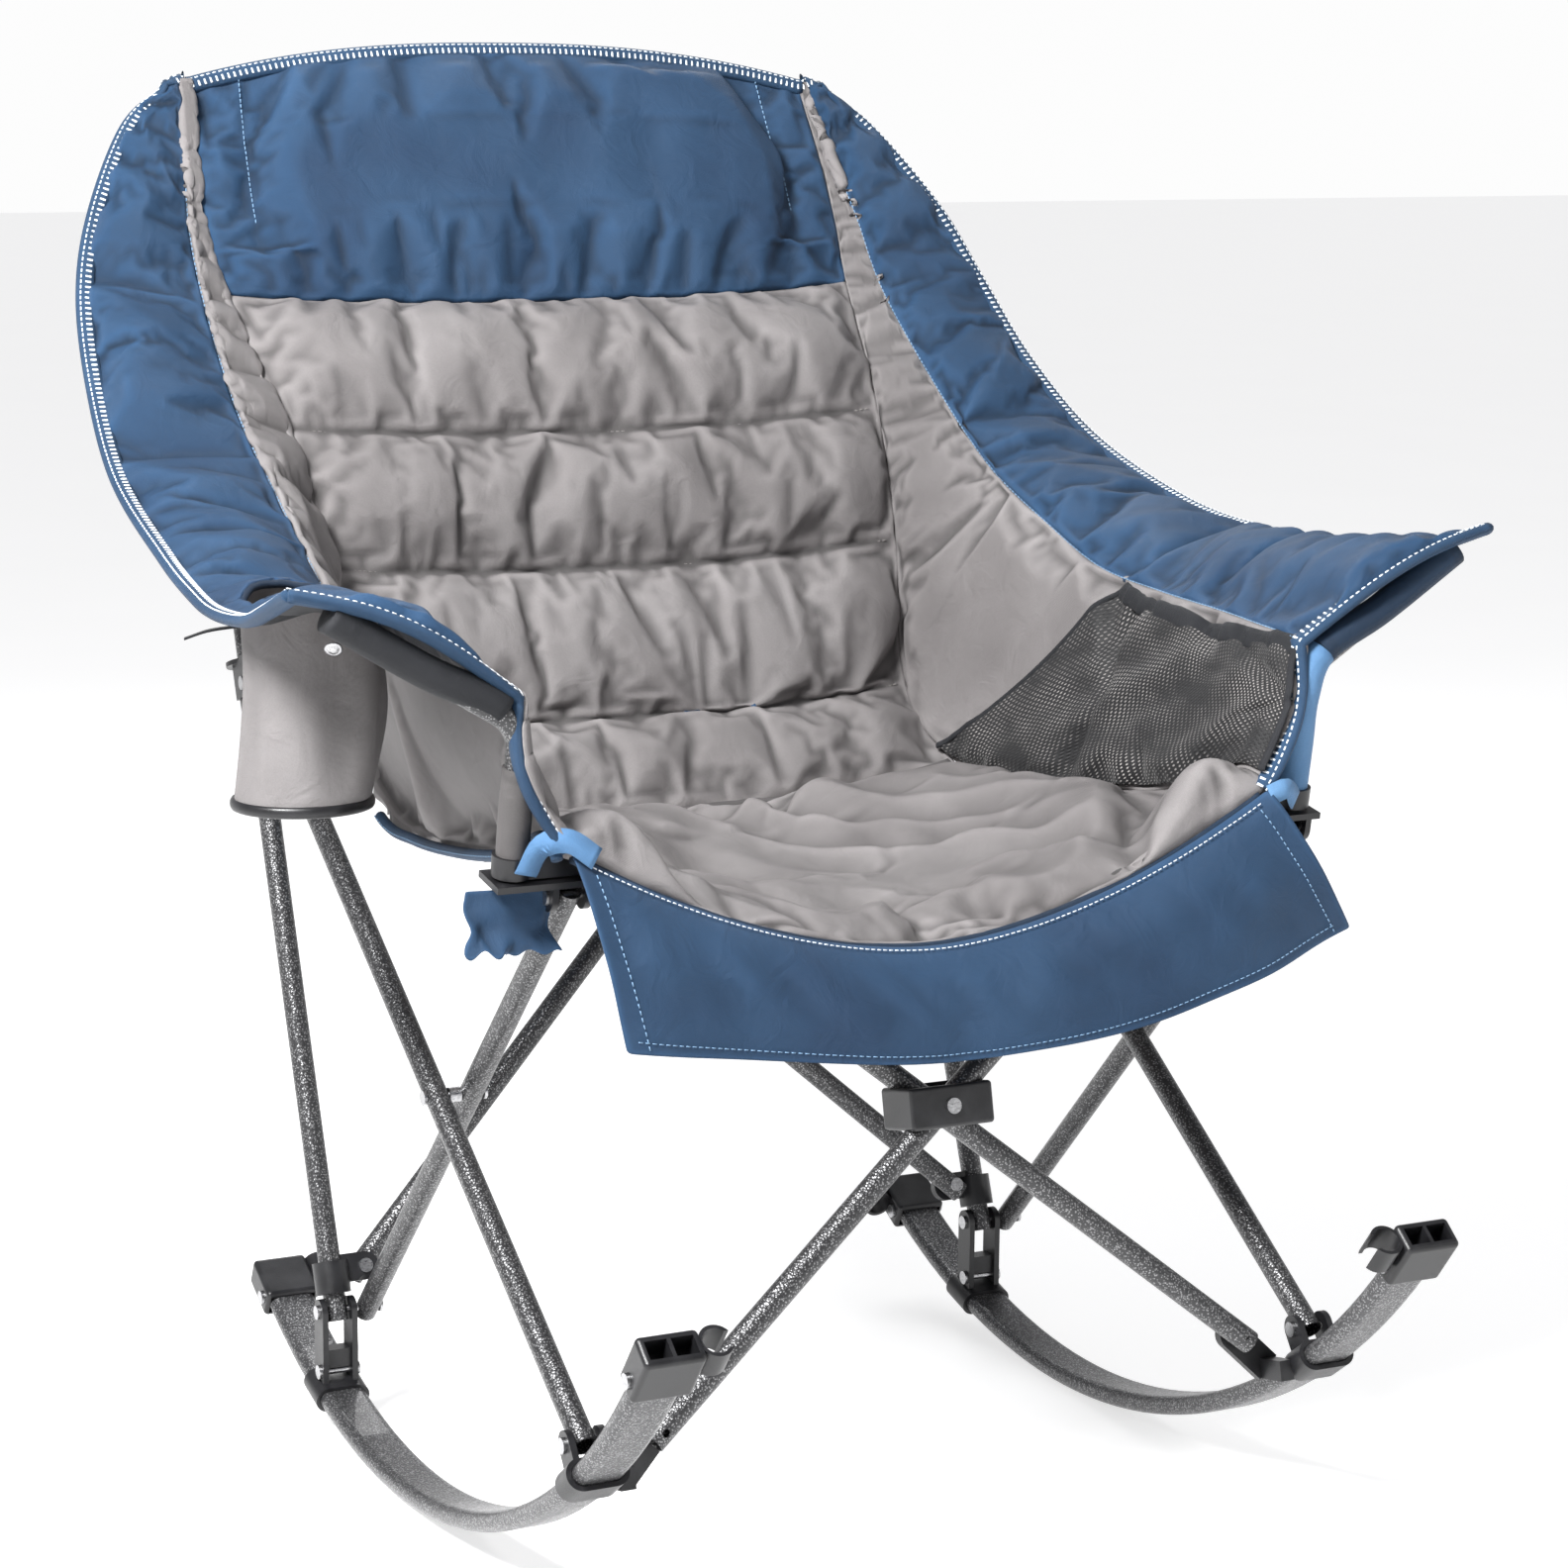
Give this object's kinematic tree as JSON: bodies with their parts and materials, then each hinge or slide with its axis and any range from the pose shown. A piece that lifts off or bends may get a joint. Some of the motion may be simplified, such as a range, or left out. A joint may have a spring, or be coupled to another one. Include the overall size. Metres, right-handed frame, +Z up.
{
  "type": "camp rocking chair",
  "caption": "Folding rocking camp chair: bucket seat of padded cloth on a tube frame with crossed legs, curved rocker rails, wide cloth arms and a cup holder.",
  "frame": {"origin": "on the floor, under the centre of the bounding box", "axes": "+Z up; -Y is the front, towards which a sitter looks; left parts are on the -X side and right parts on the +X side"},
  "size_m": [1.0044, 1.1103, 1.128],
  "materials": {
    "frame_tube": "satin",
    "rail": "satin",
    "moulding": "satin",
    "rivet": "satin",
    "blue_cloth": "matte",
    "grey_cloth": "matte",
    "mesh": "matte"
  },
  "bodies": {
    "left_post": {"left_back_post": "frame_tube", "left_post_cap": "moulding", "left_lower_collar": "moulding", "left_post_rivets": "rivet", "left_wing": "blue_cloth", "left_arm_cover": "blue_cloth", "left_side_panel": "grey_cloth", "back_panel": "grey_cloth", "headrest_panel": "blue_cloth", "cup_holder": "grey_cloth", "cup_holder_base": "moulding"},
    "left_upper_slider": {"left_upper_collar": "moulding", "left_upper_collar_rivets": "rivet"},
    "left_rear_leg": {"left_rear_leg": "frame_tube", "left_leg_crossing_rivet": "rivet"},
    "left_front_leg": {"left_front_leg": "frame_tube"},
    "left_rocker": {"left_rocker_rail": "rail", "left_rear_foot_bracket": "moulding", "left_rail_end_clips": "moulding", "left_rocker_rivets": "rivet"},
    "left_front_foot": {"left_front_foot_bracket": "moulding", "left_front_foot_rivets": "rivet"},
    "left_arm": {"left_seat_corner_bracket": "moulding", "left_seat_corner_rivet": "rivet", "left_arm_post": "frame_tube"},
    "left_arm_slider": {"left_arm_slider": "moulding", "left_arm_slider_rivet": "rivet"},
    "right_post": {"right_back_post": "frame_tube", "right_post_cap": "moulding", "right_lower_collar": "moulding", "right_post_rivets": "rivet", "right_wing": "blue_cloth", "right_arm_cover": "blue_cloth", "right_side_panel": "grey_cloth", "mesh_pocket": "mesh"},
    "right_upper_slider": {"right_upper_collar": "moulding", "right_upper_collar_rivets": "rivet"},
    "right_rear_leg": {"right_rear_leg": "frame_tube", "right_leg_crossing_rivet": "rivet"},
    "right_front_leg": {"right_front_leg": "frame_tube"},
    "right_rocker": {"right_rocker_rail": "rail", "right_rear_foot_bracket": "moulding", "right_rail_end_clips": "moulding", "right_rocker_rivets": "rivet"},
    "right_front_foot": {"right_front_foot_bracket": "moulding", "right_front_foot_rivets": "rivet"},
    "right_arm": {"right_seat_corner_bracket": "moulding", "right_seat_corner_rivet": "rivet", "right_arm_post": "frame_tube"},
    "right_arm_slider": {"right_arm_slider": "moulding"},
    "rear_cross_back": {"rear_cross_tube_back": "frame_tube", "rear_cross_rivet": "rivet"},
    "rear_cross_front": {"rear_cross_tube_front": "frame_tube"},
    "front_cross_back": {"front_cross_tube_back": "frame_tube"},
    "front_hub": {"front_hub": "moulding", "front_hub_rivet": "rivet"},
    "front_cross_front": {"front_cross_tube_front": "frame_tube"},
    "seat": {"seat_pad": "grey_cloth", "front_skirt": "blue_cloth"}
  },
  "joints": [
    {"name": "fold", "type": "hinge", "parent": "left_post", "child": "rear_cross_back", "pos_m": [-0.28, 0.1638, 0.13189], "axis": [0, -0.9379, 0.3469], "range_deg": [0, 35.37], "deforming": ["back_panel", "headrest_panel", "left_wing", "right_wing", "left_arm_cover", "right_arm_cover", "left_side_panel", "right_side_panel", "seat_pad", "front_skirt", "mesh_pocket", "cup_holder", "cup_holder_base"]},
    {"name": "rear_cross_scissor", "type": "hinge", "parent": "rear_cross_back", "child": "rear_cross_front", "pos_m": [0, 0.25868, 0.3884], "axis": [0, 0.9379, -0.3469], "range_deg": [0, 70.74]},
    {"name": "right_post_pivot", "type": "hinge", "parent": "rear_cross_front", "child": "right_post", "pos_m": [0.28, 0.1638, 0.13189], "axis": [0, -0.9379, 0.3469], "range_deg": [0, 35.37]},
    {"name": "left_upper_slide", "type": "slide", "parent": "left_post", "child": "left_upper_slider", "axis": [0, 0.3469, 0.9379], "range_m": [0, 0.22322]},
    {"name": "left_rear_leg_pivot", "type": "hinge", "parent": "left_post", "child": "left_rear_leg", "pos_m": [-0.2815, 0.152, 0.1], "axis": [-1, 0, 0], "range_deg": [0, 33.65]},
    {"name": "left_leg_crossing", "type": "hinge", "parent": "left_rear_leg", "child": "left_front_leg", "pos_m": [-0.31, -0.09849, 0.34435], "axis": [1, 0, 0], "range_deg": [0, 51]},
    {"name": "left_rocker_pivot", "type": "hinge", "parent": "left_post", "child": "left_rocker", "pos_m": [-0.31, 0.152, 0.1], "axis": [-1, 0, 0], "range_deg": [0, 24.34]},
    {"name": "left_rocker_slide", "type": "hinge", "parent": "left_rocker", "child": "left_front_foot", "pos_m": [-0.31, -0.0175, 0.664], "axis": [1, 0, 0], "range_deg": [0, 24.28]},
    {"name": "left_arm_pivot", "type": "hinge", "parent": "left_rear_leg", "child": "left_arm", "pos_m": [-0.2815, -0.297, 0.538], "axis": [1, 0, 0], "range_deg": [0, 32.55]},
    {"name": "left_arm_slide", "type": "slide", "parent": "left_arm", "child": "left_arm_slider", "axis": [0, -0.1858, 0.9826], "range_m": [0, 0.07021]},
    {"name": "right_upper_slide", "type": "slide", "parent": "right_post", "child": "right_upper_slider", "axis": [0, 0.3469, 0.9379], "range_m": [0, 0.22322]},
    {"name": "right_rear_leg_pivot", "type": "hinge", "parent": "right_post", "child": "right_rear_leg", "pos_m": [0.3385, 0.152, 0.1], "axis": [-1, 0, 0], "range_deg": [0, 33.65]},
    {"name": "right_leg_crossing", "type": "hinge", "parent": "right_rear_leg", "child": "right_front_leg", "pos_m": [0.31, -0.09849, 0.34435], "axis": [1, 0, 0], "range_deg": [0, 51]},
    {"name": "right_rocker_pivot", "type": "hinge", "parent": "right_post", "child": "right_rocker", "pos_m": [0.31, 0.152, 0.1], "axis": [-1, 0, 0], "range_deg": [0, 24.34]},
    {"name": "right_rocker_slide", "type": "hinge", "parent": "right_rocker", "child": "right_front_foot", "pos_m": [0.31, -0.0175, 0.664], "axis": [1, 0, 0], "range_deg": [0, 24.28]},
    {"name": "right_arm_pivot", "type": "hinge", "parent": "right_rear_leg", "child": "right_arm", "pos_m": [0.3385, -0.297, 0.538], "axis": [1, 0, 0], "range_deg": [0, 32.55]},
    {"name": "right_arm_slide", "type": "slide", "parent": "right_arm", "child": "right_arm_slider", "axis": [0, -0.1858, 0.9826], "range_m": [0, 0.07021]},
    {"name": "front_cross_pivot", "type": "hinge", "parent": "left_arm_slider", "child": "front_cross_back", "pos_m": [-0.253, -0.29241, 0.56347], "axis": [0, 0.9788, -0.2046], "range_deg": [0, 42.83]},
    {"name": "front_hub_turn", "type": "hinge", "parent": "front_cross_back", "child": "front_hub", "pos_m": [0, -0.3451, 0.36026], "axis": [0, -0.9788, 0.2046], "range_deg": [0, 42.83]},
    {"name": "front_cross_scissor", "type": "hinge", "parent": "front_hub", "child": "front_cross_front", "pos_m": [0, -0.3451, 0.36026], "axis": [0, -0.9788, 0.2046], "range_deg": [0, 42.83]},
    {"name": "seat_fold", "type": "hinge", "parent": "left_post", "child": "seat", "pos_m": [0, 0.128, 0.512], "axis": [-1, 0, 0], "range_deg": [0, 62]}
  ],
  "couplings": [
    {"joint": "rear_cross_scissor", "follows": "fold", "ratio": 2},
    {"joint": "right_post_pivot", "follows": "fold", "ratio": 1},
    {"joint": "left_upper_slide", "follows": "fold", "m_per_rad": 0.36156},
    {"joint": "left_rear_leg_pivot", "follows": "fold", "ratio": 0.95121},
    {"joint": "left_leg_crossing", "follows": "fold", "ratio": 1.4419},
    {"joint": "left_rocker_pivot", "follows": "fold", "ratio": 0.68816},
    {"joint": "left_rocker_slide", "follows": "fold", "ratio": 0.68649},
    {"joint": "left_arm_pivot", "follows": "fold", "ratio": 0.92017},
    {"joint": "left_arm_slide", "follows": "fold", "m_per_rad": 0.1137},
    {"joint": "right_upper_slide", "follows": "fold", "m_per_rad": 0.36156},
    {"joint": "right_rear_leg_pivot", "follows": "fold", "ratio": 0.95121},
    {"joint": "right_leg_crossing", "follows": "fold", "ratio": 1.4419},
    {"joint": "right_rocker_pivot", "follows": "fold", "ratio": 0.68816},
    {"joint": "right_rocker_slide", "follows": "fold", "ratio": 0.68649},
    {"joint": "right_arm_pivot", "follows": "fold", "ratio": 0.92017},
    {"joint": "right_arm_slide", "follows": "fold", "m_per_rad": 0.1137},
    {"joint": "front_cross_pivot", "follows": "fold", "ratio": 1.2108},
    {"joint": "front_hub_turn", "follows": "fold", "ratio": 1.2108},
    {"joint": "front_cross_scissor", "follows": "fold", "ratio": 1.2108},
    {"joint": "seat_fold", "follows": "fold", "ratio": 1.7529}
  ]
}
